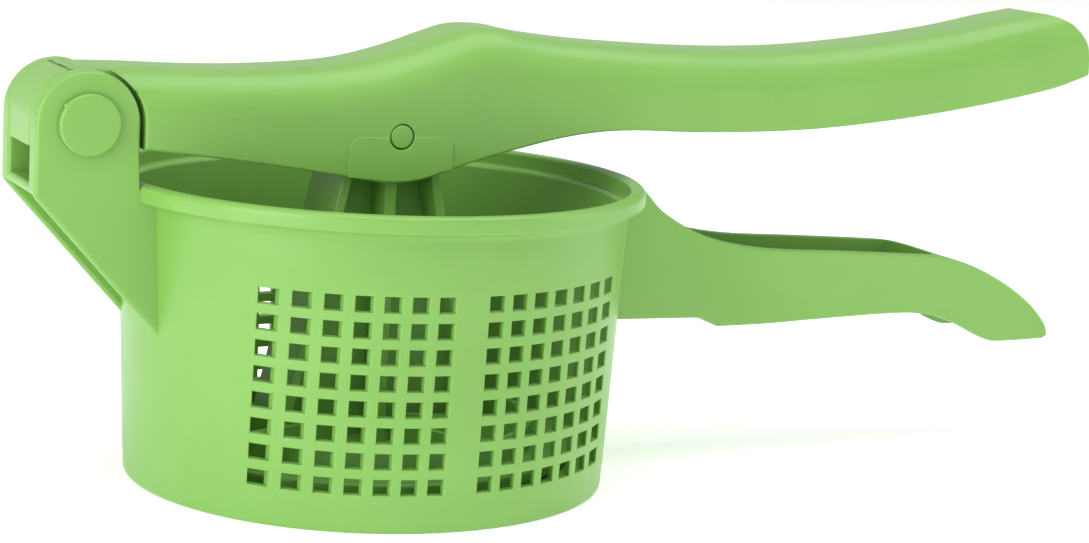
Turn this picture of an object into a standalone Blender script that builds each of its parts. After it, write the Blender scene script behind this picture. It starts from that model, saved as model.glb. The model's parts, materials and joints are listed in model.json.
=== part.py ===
"""Potato ricer: a perforated cup with a hinged press lever and a swinging plunger.

The pieces are modelled about the cup's axis, with the standing face on z = 0, the handles along
+X and the hinge on the -X side, and the whole is then moved along X until the middle of its
length is over the origin. Lengths are metres, written in millimetres times MM.
"""
import math

import bmesh
import bpy
from mathutils import Matrix, Vector

MM = 0.001

# ---- driving dimensions -------------------------------------------------------------------------
FIT_GAP = 0.3 * MM              # clearance between pieces that touch or turn on each other

CUP_HEIGHT = 73.3 * MM
CUP_TOP_RADIUS = 61.4 * MM      # outer wall carried up to the rim
CUP_TAPER = 3.1 * MM            # how much smaller the outer wall is at the standing face
CUP_WALL = 2.2 * MM
CUP_STEPS = 60                  # facets round the cup
LIP_FLARE = 3.6 * MM            # the flared lip's outer edge, beyond the wall
LIP_FACE = 2.6 * MM             # height of the lip's outer face
LIP_BLEND = 2.2 * MM            # height of the sweep from the wall out to the lip
LIP_ROUND = 1.1 * MM
RIM_WIDTH = 3.7 * MM            # flat top of the rim, from its mouth to the lip's edge
LEDGE_DROP = 4.0 * MM           # the ledge inside, below the rim
LEDGE_SLOPE = 0.8 * MM
FOOT_HEIGHT = 3.5 * MM          # the floor stands this far above the table on its foot ring
FOOT_WIDTH = 3.6 * MM
FLOOR_THICKNESS = 2.5 * MM
FLOOR_CORNER = 3.5 * MM         # radius between the floor and the wall inside

HOLE_SIZE = 3.6 * MM            # square holes, in walls and floor
WALL_PITCH = 6.0 * MM
WALL_COLUMNS = 7                # columns in each panel, either side of the blank middle
WALL_ROWS = 8
WALL_FIRST_ROW = 10.9 * MM      # height of the lowest row's centre
FLOOR_PITCH = 8.0 * MM
FLOOR_BORDER = 5.0 * MM         # solid margin round the floor's holes

HINGE_STANDOFF = 10.5 * MM      # from the lip's edge out to the hinge pin
EAR_RADIUS = 12.0 * MM
EAR_RISE = 1.9 * MM             # the ears' round tops sit this far above a circle on the shelf
EAR_THICKNESS = 6.0 * MM
BRACKET_WIDTH = 30.0 * MM       # over the ears' outer faces
SHELF_THICKNESS = 2.4 * MM      # plate between the ears, level with the rim
GUSSET_DROP = 34.3 * MM         # from the rim down to where the sloping gussets meet the cup
GUSSET_THICKNESS = 2.6 * MM

HINGE_PIN_RADIUS = 4.0 * MM
HINGE_PIN_BORE = 2.2 * MM       # radius of the hole up the pin's far end
HINGE_PIN_BORE_DEPTH = 14.0 * MM
PIN_HEAD_RADIUS = 7.1 * MM
PIN_HEAD_HEIGHT = 1.4 * MM
CAP_SPIGOT_LENGTH = 11.0 * MM

LEVER_WALL = 2.5 * MM
LEVER_OVERHANG = 131.4 * MM     # from the lip's edge out to the lever's tail
TAIL_RADIUS = 12.5 * MM         # round of the tail, seen from the side
TAIL_RISE = 15.8 * MM           # that round's centre, above the hinge pin
TAIL_CORNER = 13.4 * MM         # the tail's lower corner, above the hinge pin
LEVER_ROUND = 9.0 * MM          # radius of the lever's long top edges
SHOULDER_GAP = 1.1 * MM         # between the ears' round tops and the lever's shoulders
BARREL_WALL = 2.0 * MM          # round the hinge pin's bore, inside the hollow heel
HEEL_GAP = 0.2 * MM             # the heel's round top stays inside the ears' outline
HEEL_DROP = 5.6 * MM            # the heel's lower edge, below the hinge pin
LEVER_RIB = 1.8 * MM
LEVER_RIBS = 6
LEVER_RIB_FIRST = 46.0 * MM     # first rib, measured from the cup's axis
LEVER_RIB_PITCH = 26.0 * MM
LEVER_RIB_DEPTH = 8.0 * MM      # how far a rib hangs down from the lever's skin

PLUNGER_PIN_DROP = 3.0 * MM     # plunger pin below the hinge pin
PLUNGER_PIN_RADIUS = 2.8 * MM
PLUNGER_PIN_RECESS = 0.3 * MM
PAD_HALF = 13.2 * MM            # thickened pad on the lever's sides, round the plunger pin
PAD_PROUD = 0.35 * MM
PAD_ROUND = 3.0 * MM

DISC_EDGE_GAP = 3.0 * MM        # from the disc's edge to the rounded corner of the cup's floor
DISC_THICKNESS = 3.0 * MM
DISC_RING_INSET = 10.0 * MM     # the stiffening ring's middle, in from the disc's edge
DISC_RING_HEIGHT = 6.0 * MM
DISC_RIBS = 8
BOSS_RADIUS = 6.0 * MM
STEM_SIDE_GAP = 2.5 * MM        # between the stem's ribs and the lever's walls
STEM_PLATE = 2.6 * MM
STEM_TOP_HALF = 9.0 * MM        # half spread of the outer ribs where they leave the boss
STEM_FOOT_HALF = 24.5 * MM      # half spread of the outer ribs where they meet the disc
STEM_SHOULDER_DROP = 6.5 * MM   # ribs start this far below the plunger pin

HANDLE_WIDTH = 27.0 * MM
HANDLE_WALL = 2.5 * MM
HANDLE_FLOOR = 2.5 * MM
TROUGH_LENGTH = 91.2 * MM       # the open channel, up to where it ends in the closed nose
TROUGH_START = 0.8 * MM         # the channel starts this far outside the lip

GREEN = (0.223, 0.451, 0.093, 1.0)

# ---- worked out from the driving dimensions -----------------------------------------------------
CUP_BASE_RADIUS = CUP_TOP_RADIUS - CUP_TAPER
LIP_RADIUS = CUP_TOP_RADIUS + LIP_FLARE
MOUTH_RADIUS = LIP_RADIUS - RIM_WIDTH
FLOOR_TOP = FOOT_HEIGHT + FLOOR_THICKNESS
GUSSET_FOOT = CUP_HEIGHT - GUSSET_DROP
HINGE = Vector((-LIP_RADIUS - HINGE_STANDOFF, 0.0, CUP_HEIGHT + EAR_RADIUS + EAR_RISE))
LEVER_END = LIP_RADIUS + LEVER_OVERHANG
LEVER_WIDTH = BRACKET_WIDTH
HEEL_RADIUS = EAR_RADIUS - HEEL_GAP
TROUGH_INNER = LIP_RADIUS + TROUGH_START
TROUGH_END = TROUGH_INNER + TROUGH_LENGTH
PLUNGER_PIN = Vector((0.0, 0.0, HINGE.z - PLUNGER_PIN_DROP))
EAR_INNER = BRACKET_WIDTH / 2 - EAR_THICKNESS
BARREL_WIDTH = 2 * (EAR_INNER - FIT_GAP)
HINGE_BORE = HINGE_PIN_RADIUS + FIT_GAP
BARREL_RADIUS = HINGE_BORE + BARREL_WALL
PLUNGER_BORE = PLUNGER_PIN_RADIUS + FIT_GAP
DISC_BOTTOM = FLOOR_TOP + FIT_GAP
MIDDLE = (LEVER_END + HINGE.x - EAR_RADIUS) / 2
CHANNEL_HALF = LEVER_WIDTH / 2 - LEVER_WALL
STEM_HALF_WIDTH = CHANNEL_HALF - STEM_SIDE_GAP


# ---- outlines -----------------------------------------------------------------------------------
def arc(centre, radius, start, stop, steps):
    """Points on an arc about centre (x, z), angles in degrees."""
    angles = [math.radians(start + (stop - start) * i / steps) for i in range(steps + 1)]
    return [(centre[0] + radius * math.cos(a), centre[1] + radius * math.sin(a)) for a in angles]


def smooth(points, steps=3):
    """A Catmull-Rom curve through the points, with steps pieces in each span."""
    ends = [points[0]] + list(points) + [points[-1]]
    path = []
    for i in range(1, len(ends) - 2):
        p0, p1, p2, p3 = (Vector(p) for p in ends[i - 1:i + 3])
        for j in range(steps):
            t = j / steps
            point = 0.5 * (2 * p1 + (p2 - p0) * t + (2 * p0 - 5 * p1 + 4 * p2 - p3) * t ** 2
                           + (3 * p1 - p0 - 3 * p2 + p3) * t ** 3)
            path.append((point.x, point.y))
    return path + [tuple(points[-1])]


def offset(path, distance):
    """The open path moved sideways by distance, to the right of its direction."""
    runs = [(Vector(b) - Vector(a)).normalized() for a, b in zip(path, path[1:])]
    moved = []
    for i, point in enumerate(path):
        before = runs[max(i - 1, 0)]
        after = runs[min(i, len(runs) - 1)]
        across = Vector((before.y + after.y, -before.x - after.x))
        reach = 2 * distance / across.length_squared
        moved.append((point[0] + across.x * reach, point[1] + across.y * reach))
    return moved


def cup_radius(z):
    """Outer radius of the cup's tapered wall at height z."""
    return CUP_BASE_RADIUS + (CUP_TOP_RADIUS - CUP_BASE_RADIUS) * z / CUP_HEIGHT


def floor_corner_radius():
    """Radius of the cup's flat floor, where its rounded corner begins."""
    return cup_radius(FLOOR_TOP + FLOOR_CORNER) - CUP_WALL - FLOOR_CORNER


def lever_height(rise):
    """World height of a point given by its rise above the hinge pin."""
    return HINGE.z + rise


def lever_points(run):
    """Places (along, rise) on the lever, where along is -1 at the hinge, 0 at the plunger and 1
    at the tail, and rise is in millimetres above the hinge pin."""
    return [((along * LEVER_END if along > 0 else -along * HINGE.x), lever_height(rise * MM))
            for along, rise in run]


def lever_top():
    """The lever's crown seen from the side, from the shoulder to the tail."""
    run = [(-0.874, 12.2), (-0.636, 11.7), (-0.411, 11.9), (-0.159, 13.3), (0.010, 16.6),
           (0.061, 20.0), (0.097, 22.0), (0.137, 22.1), (0.188, 20.4), (0.285, 18.6),
           (0.433, 17.4), (0.560, 17.8), (0.682, 20.0), (0.799, 23.3), (0.881, 26.6)]
    return smooth(lever_points(run))


def lever_tail():
    """The rounded end of the lever, from the crown down to its lower corner."""
    centre = (LEVER_END - TAIL_RADIUS, lever_height(TAIL_RISE))
    return arc(centre, TAIL_RADIUS, 100, 0, 7) + [(LEVER_END, lever_height(TAIL_CORNER))]


def lever_bottom():
    """The lever's lower edge, from the tail back to the shoulder, with the belly at the plunger."""
    run = [(0.988, 11.9), (0.932, 8.6), (0.815, 4.2), (0.698, 0.9), (0.586, -1.3), (0.494, -2.1),
           (0.402, -2.2), (0.316, -1.7), (0.260, -2.2), (0.209, -3.7), (0.158, -6.0),
           (0.107, -8.6), (0.061, -11.4), (0.025, -13.5), (-0.040, -14.1), (-0.185, -12.4),
           (-0.477, -9.1)]
    shoulder_foot = (HINGE.x + EAR_RADIUS + SHOULDER_GAP, lever_height(-HEEL_DROP - FIT_GAP))
    return smooth(lever_points(run) + [shoulder_foot])


def handle_points(run):
    """Places on the lower handle, from millimetres outside the lip and below the rim."""
    return [(LIP_RADIUS + out * MM, CUP_HEIGHT - down * MM) for out, down in run]


def handle_top():
    """The lower handle's upper edge, sweeping down from the lip and over the nose."""
    return smooth(handle_points([
        (-7.0, 0.7), (-1.0, 0.9), (2.5, 3.9), (7.0, 8.3), (15.0, 12.9), (25.0, 16.3), (39.0, 18.5),
        (60.0, 19.6), (83.0, 20.9), (92.0, 21.9), (101.0, 24.4), (111.5, 29.3), (120.0, 34.9),
        (125.5, 40.5), (126.8, 43.9)]), 2)


def handle_bottom():
    """The lower handle's under edge, from the nose's flat tip back into the cup."""
    under = smooth(handle_points([
        (125.4, 44.8), (111.5, 45.1), (106.0, 44.1), (95.5, 39.3), (87.0, 37.0), (77.0, 36.4),
        (54.0, 37.2), (39.0, 37.9), (24.6, 38.1)]), 2)
    return under + handle_points([(19.4, 35.7), (-7.5, 35.3)])


# ---- building blocks ----------------------------------------------------------------------------
def collection(name):
    made = bpy.data.collections.new(name)
    bpy.context.scene.collection.children.link(made)
    return made


def add(name, data, where):
    made = bpy.data.objects.new(name, data)
    where.objects.link(made)
    return made


def as_mesh(source, name, where):
    """Replace a curve or a modified object by its evaluated mesh, with its loose caps welded."""
    bpy.context.view_layer.update()
    graph = bpy.context.evaluated_depsgraph_get()
    mesh = bpy.data.meshes.new_from_object(source.evaluated_get(graph))
    shape = bmesh.new()
    shape.from_mesh(mesh)
    bmesh.ops.remove_doubles(shape, verts=shape.verts, dist=0.00001)
    bmesh.ops.transform(shape, matrix=source.matrix_world, verts=shape.verts)
    bmesh.ops.recalc_face_normals(shape, faces=shape.faces)
    shape.to_mesh(mesh)
    shape.free()
    bpy.data.objects.remove(source)
    return add(name, mesh, where)


def plate(name, outline, y_low, y_high, where):
    """A flat outline in the XZ plane, given thickness from y_low to y_high."""
    curve = bpy.data.curves.new(name, "CURVE")
    curve.dimensions = "2D"
    curve.fill_mode = "BOTH"
    curve.extrude = (y_high - y_low) / 2
    spline = curve.splines.new("POLY")
    spline.points.add(len(outline) - 1)
    for point, (x, z) in zip(spline.points, outline):
        point.co = (x, z, 0.0, 1.0)
    spline.use_cyclic_u = True
    flat = add(name + "_outline", curve, where)
    flat.rotation_euler = (math.pi / 2, 0.0, 0.0)
    flat.location = (0.0, (y_low + y_high) / 2, 0.0)
    return as_mesh(flat, name, where)


def turned(name, profile, where, steps=CUP_STEPS):
    """A profile of (radius, z) turned about Z, from the axis round and back to the axis."""
    half_step = math.pi / steps
    mesh = bpy.data.meshes.new(name)
    points = [(r * math.cos(half_step), r * math.sin(half_step), z) for r, z in profile]
    mesh.from_pydata(points, [(i, i + 1) for i in range(len(points) - 1)], [])
    made = add(name, mesh, where)
    screw = made.modifiers.new("Turn", "SCREW")
    screw.axis = "Z"
    screw.steps = steps
    screw.render_steps = steps
    screw.use_merge_vertices = True
    screw.merge_threshold = 0.00001
    return as_mesh(made, name, where)


def rod(name, radius, y_low, y_high, centre, where, vertices=32):
    """A cylinder along Y through centre (x, z)."""
    mesh = bpy.data.meshes.new(name)
    shape = bmesh.new()
    bmesh.ops.create_cone(shape, cap_ends=True, segments=vertices, radius1=radius, radius2=radius,
                          depth=y_high - y_low)
    turn = Matrix.Rotation(math.pi / 2, 4, "X")
    place = Matrix.Translation((centre[0], (y_low + y_high) / 2, centre[1]))
    bmesh.ops.transform(shape, matrix=place @ turn, verts=shape.verts)
    shape.to_mesh(mesh)
    shape.free()
    return add(name, mesh, where)


def boxes(name, blocks, where):
    """One mesh of separate boxes, each given by its centre and its size."""
    mesh = bpy.data.meshes.new(name)
    shape = bmesh.new()
    for centre, size in blocks:
        place = Matrix.Translation(centre) @ Matrix.Diagonal((*size, 1.0))
        bmesh.ops.create_cube(shape, size=1.0, matrix=place)
    shape.to_mesh(mesh)
    shape.free()
    return add(name, mesh, where)


def combine(target, tools, operation):
    """Apply one Boolean for each tool, in order, and remove the tools."""
    for tool in tools:
        step = target.modifiers.new(operation.title(), "BOOLEAN")
        step.operation = operation
        step.solver = "EXACT"
        step.object = tool
        bpy.context.view_layer.update()
        graph = bpy.context.evaluated_depsgraph_get()
        mesh = bpy.data.meshes.new_from_object(target.evaluated_get(graph))
        target.modifiers.clear()
        target.data = mesh
        bpy.data.objects.remove(tool)


def corner_strips(name, path, half, radius, steps, where):
    """Two cutters swept along the path, which round a bar's long edges at y = -half and +half.

    The path runs along the bar's surface with the bar on its right. Each cutter's section is
    what a quarter circle leaves over from a square corner.
    """
    over = 2 * MM
    quarter = [math.radians(90 * i / steps) for i in range(steps + 1)]
    section = [(-over, half - radius)]
    section += [(radius * (1 - math.cos(t)), half - radius + radius * math.sin(t)) for t in quarter]
    section += [(radius, half + over), (-over, half + over)]
    rows = [offset(path, depth) for depth, _ in section]
    mesh = bpy.data.meshes.new(name)
    shape = bmesh.new()
    for side in (-1, 1):
        rings = []
        for i in range(len(path)):
            ring = [(row[i][0], side * y, row[i][1]) for row, (_, y) in zip(rows, section)]
            rings.append([shape.verts.new(point) for point in ring])
        count = len(section)
        for near, far in zip(rings, rings[1:]):
            for k in range(count):
                shape.faces.new((near[k], near[(k + 1) % count], far[(k + 1) % count], far[k]))
        shape.faces.new(rings[0])
        shape.faces.new(rings[-1])
    bmesh.ops.recalc_face_normals(shape, faces=shape.faces)
    shape.to_mesh(mesh)
    shape.free()
    return add(name, mesh, where)


def finish(target, name, colour, roughness, where):
    """Name the piece, give it its own material and shade its round faces smooth."""
    target.name = name
    target.data.name = name
    for old in list(target.users_collection):
        old.objects.unlink(target)
    where.objects.link(target)
    material = bpy.data.materials.new(name)
    material.use_nodes = True
    surface = material.node_tree.nodes["Principled BSDF"]
    surface.inputs["Base Color"].default_value = colour
    surface.inputs["Roughness"].default_value = roughness
    surface.inputs["Metallic"].default_value = 0.0
    target.data.materials.clear()
    target.data.materials.append(material)
    target.data.shade_smooth()
    target.data.set_sharp_from_angle(angle=math.radians(32))


def set_origin(target, point):
    """Move the object's origin to point and leave its shape where it is."""
    target.data.transform(Matrix.Translation(-point))
    target.location = point


# ---- pot ----------------------------------------------------------------------------------------
def cup_outside():
    """Solid of the cup's outside, with its lip and its foot ring."""
    face_low = CUP_HEIGHT - LIP_ROUND - LIP_FACE
    blend_low = face_low - LIP_BLEND
    wall = cup_radius(blend_low)
    sweep = arc((wall + (LIP_RADIUS - wall), blend_low - 0.2 * MM), LIP_RADIUS - wall, 180, 130, 2)
    lip = [(LIP_RADIUS - 0.5 * MM, face_low), (LIP_RADIUS, face_low + 0.6 * MM)]
    crown = arc((LIP_RADIUS - LIP_ROUND, CUP_HEIGHT - LIP_ROUND), LIP_ROUND, 0, 90, 2)
    recess = CUP_BASE_RADIUS - FOOT_WIDTH
    up = [(0.0, FOOT_HEIGHT), (recess, FOOT_HEIGHT), (recess, 0.0),
          (CUP_BASE_RADIUS - 0.6 * MM, 0.0), (CUP_BASE_RADIUS, 0.6 * MM)]
    up += sweep + lip + crown + [(0.0, CUP_HEIGHT)]
    return up[::-1]


def cup_inside():
    """Solid of the space inside the cup, above its floor."""
    ledge = CUP_HEIGHT - LEDGE_DROP
    corner = arc((floor_corner_radius(), FLOOR_TOP + FLOOR_CORNER), FLOOR_CORNER, -90, 0, 2)
    wall_top = (cup_radius(ledge) - CUP_WALL, ledge - LEDGE_SLOPE)
    mouth = [(MOUTH_RADIUS, ledge), (MOUTH_RADIUS, CUP_HEIGHT - 0.5 * MM),
             (MOUTH_RADIUS + 0.5 * MM, CUP_HEIGHT), (MOUTH_RADIUS + 0.5 * MM, CUP_HEIGHT + MM)]
    up = [(0.0, FLOOR_TOP)] + corner + [wall_top] + mouth + [(0.0, CUP_HEIGHT + MM)]
    return up[::-1]


def wall_holes():
    """Boxes along Y that cut both side panels, front and back."""
    blocks = []
    length = 2.2 * LIP_RADIUS
    for side in (-1, 1):
        for column in range(1, WALL_COLUMNS + 1):
            for row in range(WALL_ROWS):
                x = side * column * WALL_PITCH
                z = WALL_FIRST_ROW + row * WALL_PITCH
                blocks.append(((x, 0.0, z), (HOLE_SIZE, length, HOLE_SIZE)))
    return blocks


def floor_holes():
    """Boxes along Z that cut the floor inside its solid border."""
    limit = CUP_BASE_RADIUS - FOOT_WIDTH - FLOOR_BORDER
    reach = int(limit / FLOOR_PITCH)
    span = range(-reach, reach + 1)
    depth = FLOOR_TOP + 2 * MM
    return [((i * FLOOR_PITCH, j * FLOOR_PITCH, depth / 2 - MM / 2), (HOLE_SIZE, HOLE_SIZE, depth))
            for i in span for j in span if math.hypot(i, j) * FLOOR_PITCH <= limit]


def ear_outline():
    """An ear with its round top and the gusset that slopes back to the cup."""
    left = HINGE.x - EAR_RADIUS
    right = HINGE.x + EAR_RADIUS
    inside = -cup_radius(GUSSET_FOOT) + 3 * MM
    top = arc((HINGE.x, HINGE.z), EAR_RADIUS, 0, 180, 16)
    shelf_low = CUP_HEIGHT - SHELF_THICKNESS
    return [(right, CUP_HEIGHT - MM)] + top + [(left, shelf_low), (inside, GUSSET_FOOT - 2 * MM),
                                               (inside, CUP_HEIGHT - MM)]


def gusset_relief():
    """The part of each ear below the shelf that is thinned to a gusset from inside."""
    left = HINGE.x - EAR_RADIUS - MM
    low = GUSSET_FOOT - 8 * MM
    high = CUP_HEIGHT - SHELF_THICKNESS
    inner = BRACKET_WIDTH / 2 - GUSSET_THICKNESS
    right = -cup_radius(low) + 3 * MM
    centre = ((left + right) / 2, 0.0, (low + high) / 2)
    return [(centre, (right - left, 2 * inner, high - low))]


def build_pot(work, where):
    half = BRACKET_WIDTH / 2
    pot = turned("pot_body", cup_outside(), work)
    bracket = plate("ears", ear_outline(), -half, half, work)
    combine(bracket, [boxes("relief", gusset_relief(), work)], "DIFFERENCE")
    slot_low = CUP_HEIGHT
    slot_high = HINGE.z + EAR_RADIUS + MM
    slot_left = HINGE.x - EAR_RADIUS - MM
    slot_right = -MOUTH_RADIUS + 2 * MM
    slot_centre = ((slot_left + slot_right) / 2, 0.0, (slot_low + slot_high) / 2)
    slot_size = (slot_right - slot_left, 2 * EAR_INNER, slot_high - slot_low)
    combine(bracket, [boxes("slot", [(slot_centre, slot_size)], work)], "DIFFERENCE")
    combine(pot, [bracket], "UNION")

    handle = plate("handle", handle_top() + handle_bottom(), -HANDLE_WIDTH / 2, HANDLE_WIDTH / 2,
                   work)
    combine(pot, [handle], "UNION")

    inner_half = HANDLE_WIDTH / 2 - HANDLE_WALL
    floor_line = [(x, z + HANDLE_FLOOR) for x, z in handle_bottom()[::-1]]
    trough = [(TROUGH_INNER, floor_line[0][1])]
    trough += [p for p in floor_line if TROUGH_INNER < p[0] < TROUGH_END - MM]
    trough += [(TROUGH_END, trough[-1][1]), (TROUGH_END, CUP_HEIGHT), (TROUGH_INNER, CUP_HEIGHT)]
    nose = offset([p for p in handle_top() if p[0] > TROUGH_END - 4 * MM], HANDLE_WALL)
    nose = [p for p in nose if p[0] > TROUGH_END + HANDLE_WALL]
    under = handle_bottom()[0][1] - 4 * MM
    nose += [(nose[-1][0], under), (nose[0][0], under)]
    pin_bore = rod("bore", HINGE_BORE, -half - MM, half + MM, (HINGE.x, HINGE.z), work)
    combine(pot, [turned("cavity", cup_inside(), work),
                  plate("trough", trough, -inner_half, inner_half, work),
                  plate("nose", nose, -inner_half, inner_half, work),
                  pin_bore,
                  boxes("wall_cut", wall_holes(), work),
                  boxes("floor_cut", floor_holes(), work)], "DIFFERENCE")
    finish(pot, "pot", GREEN, 0.38, where)
    return pot


# ---- lever --------------------------------------------------------------------------------------
def shoulder():
    """The hollow arc round the ears' tops, ending straight down to the lower edge."""
    radius = EAR_RADIUS + SHOULDER_GAP
    return arc((HINGE.x, HINGE.z), radius, 0, 66, 8)


def build_lever(work, where):
    half = LEVER_WIDTH / 2
    path = lever_top() + lever_tail()
    outline = shoulder() + path[1:] + lever_bottom()
    lever = plate("lever_body", outline, -half, half, work)

    edge_path = [(path[0][0] - 12 * MM, path[0][1])] + path[1:]
    edge_path.append((path[-1][0], path[-1][1] - 4 * MM))
    combine(lever, [corner_strips("crown_round", edge_path, half, LEVER_ROUND, 5, work)],
            "DIFFERENCE")

    heel_half = BARREL_WIDTH / 2
    heel = arc((HINGE.x, HINGE.z), HEEL_RADIUS, 66, 180, 12)
    heel += [(HINGE.x - HEEL_RADIUS, HINGE.z - HEEL_DROP),
             (HINGE.x + EAR_RADIUS + 8 * MM, HINGE.z - HEEL_DROP),
             (HINGE.x + EAR_RADIUS + 8 * MM, HINGE.z + 10 * MM)]
    combine(lever, [plate("heel", heel, -heel_half, heel_half, work)], "UNION")

    inner = offset(path, LEVER_WALL)
    tail_end = inner[-1]
    inner = [p for p in inner if p[0] > HINGE.x + 18 * MM and p[0] <= tail_end[0] + MM]
    low = HINGE.z - 30 * MM
    cavity_outline = inner + [(tail_end[0], low), (inner[0][0], low)]
    cavity = plate("channel", cavity_outline, -CHANNEL_HALF, CHANNEL_HALF, work)

    edge_path = [(inner[0][0] - 3 * MM, inner[0][1])] + inner[1:]
    edge_path.append((tail_end[0], tail_end[1] - 4 * MM))
    channel_round = corner_strips("channel_round", edge_path, CHANNEL_HALF,
                                  LEVER_ROUND - LEVER_WALL, 4, work)
    ribs = []
    for i in range(LEVER_RIBS):
        x = LEVER_RIB_FIRST + i * LEVER_RIB_PITCH
        skin = min(path, key=lambda p: abs(p[0] - x))[1] - LEVER_WALL
        depth = LEVER_RIB_DEPTH + LEVER_WALL
        ribs.append(((x, 0.0, skin + LEVER_WALL - depth / 2), (LEVER_RIB, LEVER_WIDTH, depth)))
    combine(cavity, [channel_round, boxes("ribs", ribs, work)], "DIFFERENCE")

    neck_half = heel_half - LEVER_WALL
    neck = arc((HINGE.x, HINGE.z), EAR_RADIUS - LEVER_WALL, 90, 180, 8)
    neck += [(HINGE.x - EAR_RADIUS + LEVER_WALL, low), (HINGE.x + 24 * MM, low),
             (HINGE.x + 24 * MM, HINGE.z + EAR_RADIUS - LEVER_WALL)]
    barrel = rod("barrel", BARREL_RADIUS, -heel_half + MM, heel_half - MM, (HINGE.x, HINGE.z), work)
    combine(lever, [cavity, plate("neck", neck, -neck_half, neck_half, work)], "DIFFERENCE")
    combine(lever, [barrel, *lever_pads(work)], "UNION")
    combine(lever, [rod("bore", HINGE_BORE, -half, half, (HINGE.x, HINGE.z), work),
                    rod("pin_hole", PLUNGER_BORE, -half - MM, half + MM,
                        (PLUNGER_PIN.x, PLUNGER_PIN.z), work, 24)], "DIFFERENCE")
    finish(lever, "lever", GREEN, 0.36, where)
    return lever


def lever_pads(work):
    """Thin raised pads round the plunger pin, one on each side of the lever."""
    belly = [p for p in lever_bottom() if abs(p[0]) < PAD_HALF]
    low = [(x, z + 0.3 * MM) for x, z in belly]
    right = arc((PAD_HALF - PAD_ROUND, PLUNGER_PIN.z - PAD_ROUND), PAD_ROUND, 0, 90, 4)
    left = arc((-PAD_HALF + PAD_ROUND, PLUNGER_PIN.z - PAD_ROUND), PAD_ROUND, 90, 180, 4)
    outline = low[::-1] + right + left
    half = LEVER_WIDTH / 2
    return [plate("pad_near", outline, -half - PAD_PROUD, -half + MM, work),
            plate("pad_far", outline, half - MM, half + PAD_PROUD, work)]


# ---- plunger ------------------------------------------------------------------------------------
def build_plunger(work, where):
    boss_half = CHANNEL_HALF - FIT_GAP
    disc_radius = floor_corner_radius() - DISC_EDGE_GAP
    ring_radius = disc_radius - DISC_RING_INSET
    disc_top = DISC_BOTTOM + DISC_THICKNESS
    ring_top = disc_top + DISC_RING_HEIGHT
    edge = 0.6 * MM
    profile = [(0.0, DISC_BOTTOM), (disc_radius - edge, DISC_BOTTOM), (disc_radius, DISC_BOTTOM + edge),
               (disc_radius, disc_top - edge), (disc_radius - edge, disc_top),
               (ring_radius + 1.1 * MM, disc_top), (ring_radius + 0.8 * MM, ring_top),
               (ring_radius - 0.8 * MM, ring_top), (ring_radius - 1.1 * MM, disc_top),
               (0.0, disc_top)]
    plunger = turned("disc", profile[::-1], work, 48)

    stem_top = PLUNGER_PIN.z - STEM_SHOULDER_DROP
    sunk = disc_top - MM
    half = STEM_HALF_WIDTH
    thick = STEM_PLATE
    foot = STEM_FOOT_HALF + thick / 2
    neck = STEM_TOP_HALF + thick / 2
    web = [(-foot, sunk - 0.4 * MM), (foot, sunk - 0.4 * MM), (neck, stem_top - 0.6 * MM),
           (BOSS_RADIUS - 0.5 * MM, PLUNGER_PIN.z), (-BOSS_RADIUS + 0.5 * MM, PLUNGER_PIN.z),
           (-neck, stem_top - 0.6 * MM)]
    pieces = [plate("web", web, -thick / 2, thick / 2, work)]
    for side in (-1, 1):
        rib = [(side * STEM_FOOT_HALF, sunk), (side * (STEM_FOOT_HALF + thick), sunk),
               (side * (STEM_TOP_HALF + thick), stem_top), (side * STEM_TOP_HALF, stem_top)]
        pieces.append(plate("rib", rib[::side], -half, half, work))
    middle_size = (thick + 0.4 * MM, 2 * half, PLUNGER_PIN.z - sunk)
    middle_centre = (0.0, 0.0, (PLUNGER_PIN.z + sunk) / 2)
    pieces.append(boxes("middle_rib", [(middle_centre, middle_size)], work))
    shelf_size = (2 * (STEM_TOP_HALF + thick) - 0.2 * MM, 2 * half - 0.2 * MM, thick)
    shelf_centre = (0.0, 0.0, stem_top - thick / 2 - 0.1 * MM)
    pieces.append(boxes("stem_shelf", [(shelf_centre, shelf_size)], work))
    pieces.append(rod("boss", BOSS_RADIUS, -boss_half, boss_half, (PLUNGER_PIN.x, PLUNGER_PIN.z),
                      work, 28))
    combine(plunger, pieces, "UNION")

    spokes = []
    inner = STEM_HALF_WIDTH - MM
    for i in range(DISC_RIBS):
        angle = 2 * math.pi * (i + 0.5) / DISC_RIBS
        reach = (inner, ring_radius)
        length = reach[1] - reach[0]
        turn = Matrix.Rotation(angle, 4, "Z")
        middle = (reach[0] + length / 2, 0.0, disc_top + DISC_RING_HEIGHT * 0.4)
        spoke = boxes("spoke", [(middle, (length, 1.8 * MM, DISC_RING_HEIGHT * 0.8 + MM))], work)
        spoke.data.transform(turn)
        spokes.append(spoke)
    combine(plunger, spokes, "UNION")
    combine(plunger, [rod("pin_hole", PLUNGER_BORE, -half * 2, half * 2,
                          (PLUNGER_PIN.x, PLUNGER_PIN.z), work, 24)], "DIFFERENCE")
    finish(plunger, "plunger", GREEN, 0.38, where)
    return plunger


# ---- pins ---------------------------------------------------------------------------------------
def pin_along_y(name, profile, centre, work, steps=32):
    """A turned profile of (radius, distance) laid along Y, its distances measured towards +Y."""
    made = turned(name, profile, work, steps)
    lay = Matrix.Translation((centre.x, 0.0, centre.z)) @ Matrix.Rotation(-math.pi / 2, 4, "X")
    made.data.transform(lay)
    return made


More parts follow.
